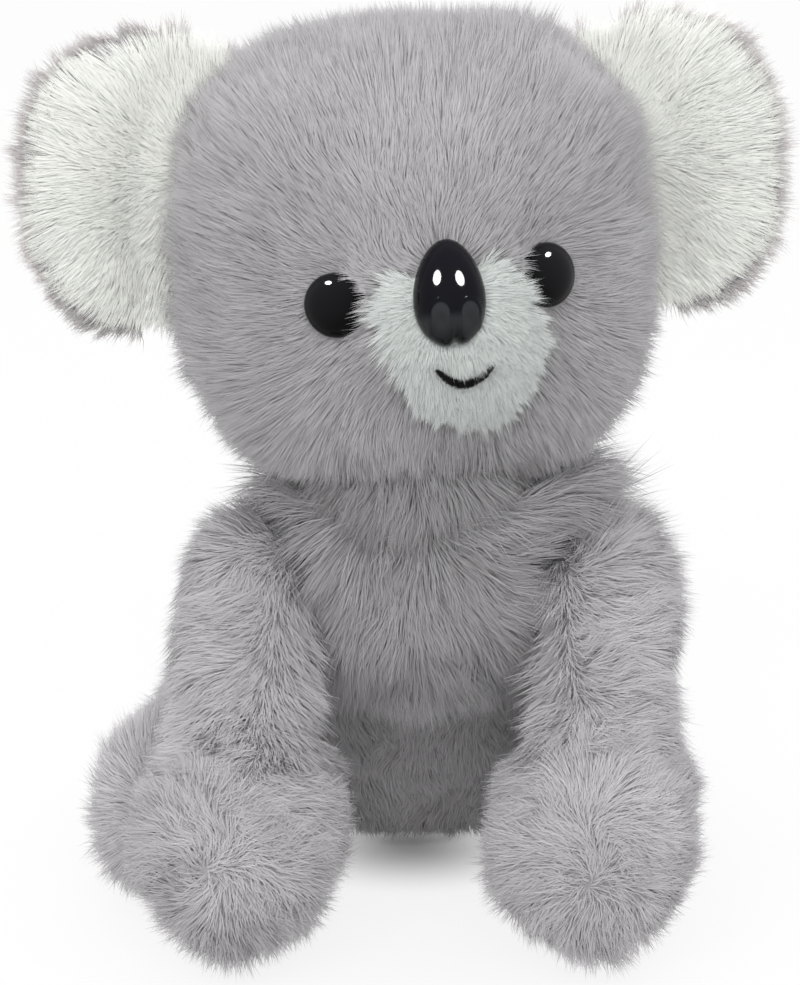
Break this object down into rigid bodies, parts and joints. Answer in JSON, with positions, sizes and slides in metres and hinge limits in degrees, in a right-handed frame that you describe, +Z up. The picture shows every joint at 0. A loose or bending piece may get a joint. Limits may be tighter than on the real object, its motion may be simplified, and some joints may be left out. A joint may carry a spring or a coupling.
{
  "type": "plush koala toy",
  "caption": "Seated plush koala with a big round head, large ears, short front legs, tucked hind legs, button eyes and nose; head, ears and legs move.",
  "frame": {"origin": "centre of the flat seat that the toy sits on", "axes": "+Z up out of the floor, -Y the way the body faces, +X to the right of someone who faces the toy; left and right in names are as that person sees them"},
  "size_m": [0.1666, 0.1449, 0.202],
  "materials": {
    "grey_pile": "long brushed pile",
    "white_pile": "brushed pile",
    "black_plastic": "polished",
    "washer_plastic": "moulded",
    "black_thread": "twisted thread",
    "fibre_filling": "loose fibre",
    "pellet_cloth": "plain weave"
  },
  "bodies": {
    "torso": {"body_back_panel": "grey_pile", "body_front_panel": "grey_pile", "body_stuffing": "fibre_filling", "pellet_bag": "pellet_cloth"},
    "neck": {"neck_stuffing": "fibre_filling"},
    "head": {"head_back_panel": "grey_pile", "head_face_panel": "grey_pile", "head_stuffing": "fibre_filling", "left_eye": "black_plastic", "left_eye_washer": "washer_plastic", "mouth_stitching": "black_thread", "muzzle_panel": "white_pile", "nose": "black_plastic", "nose_washer": "washer_plastic", "right_eye": "black_plastic", "right_eye_washer": "washer_plastic"},
    "left_ear": {"left_ear_back_panel": "grey_pile", "left_ear_front_panel": "white_pile"},
    "left_front_leg": {"left_front_leg_skin": "grey_pile", "left_front_leg_stuffing": "fibre_filling"},
    "left_hind_leg": {"left_hind_leg_skin": "grey_pile", "left_hind_leg_stuffing": "fibre_filling"},
    "right_ear": {"right_ear_back_panel": "grey_pile", "right_ear_front_panel": "white_pile"},
    "right_front_leg": {"right_front_leg_skin": "grey_pile", "right_front_leg_stuffing": "fibre_filling"},
    "right_hind_leg": {"right_hind_leg_skin": "grey_pile", "right_hind_leg_stuffing": "fibre_filling"}
  },
  "joints": [
    {"name": "neck_turn", "type": "hinge", "parent": "torso", "child": "neck", "pos_m": [0, -0.064, 0.104], "axis": [0, 0, 1], "range_deg": [-32.5, 17.5], "stiffness_Nm_per_rad": 0.3},
    {"name": "neck_nod", "type": "hinge", "parent": "neck", "child": "head", "pos_m": [0, -0.064, 0.104], "axis": [0.9914, 0.1305, 0], "range_deg": [-8, 10], "stiffness_Nm_per_rad": 0.4},
    {"name": "left_ear_fold", "type": "hinge", "parent": "head", "child": "left_ear", "pos_m": [-0.05144, -0.06472, 0.16184], "axis": [0.2144, 0.0282, 0.9763], "range_deg": [-25, 25], "stiffness_Nm_per_rad": 0.03},
    {"name": "left_front_leg_swing", "type": "hinge", "parent": "torso", "child": "left_front_leg", "pos_m": [-0.0345, -0.066, 0.078], "axis": [-1, 0, 0], "range_deg": [0, 50], "stiffness_Nm_per_rad": 0.2},
    {"name": "left_hind_leg_splay", "type": "hinge", "parent": "torso", "child": "left_hind_leg", "pos_m": [-0.0335, 0.016, 0.0245], "axis": [0, 0, -1], "range_deg": [0, 25], "stiffness_Nm_per_rad": 0.2},
    {"name": "right_ear_fold", "type": "hinge", "parent": "head", "child": "right_ear", "pos_m": [0.0489, -0.05151, 0.16414], "axis": [-0.247, -0.0325, 0.9685], "range_deg": [-25, 25], "stiffness_Nm_per_rad": 0.03},
    {"name": "right_front_leg_swing", "type": "hinge", "parent": "torso", "child": "right_front_leg", "pos_m": [0.0415, -0.066, 0.078], "axis": [-1, 0, 0], "range_deg": [0, 50], "stiffness_Nm_per_rad": 0.2},
    {"name": "right_hind_leg_splay", "type": "hinge", "parent": "torso", "child": "right_hind_leg", "pos_m": [0.0335, 0.016, 0.0245], "axis": [0, 0, 1], "range_deg": [0, 25], "stiffness_Nm_per_rad": 0.2}
  ]
}
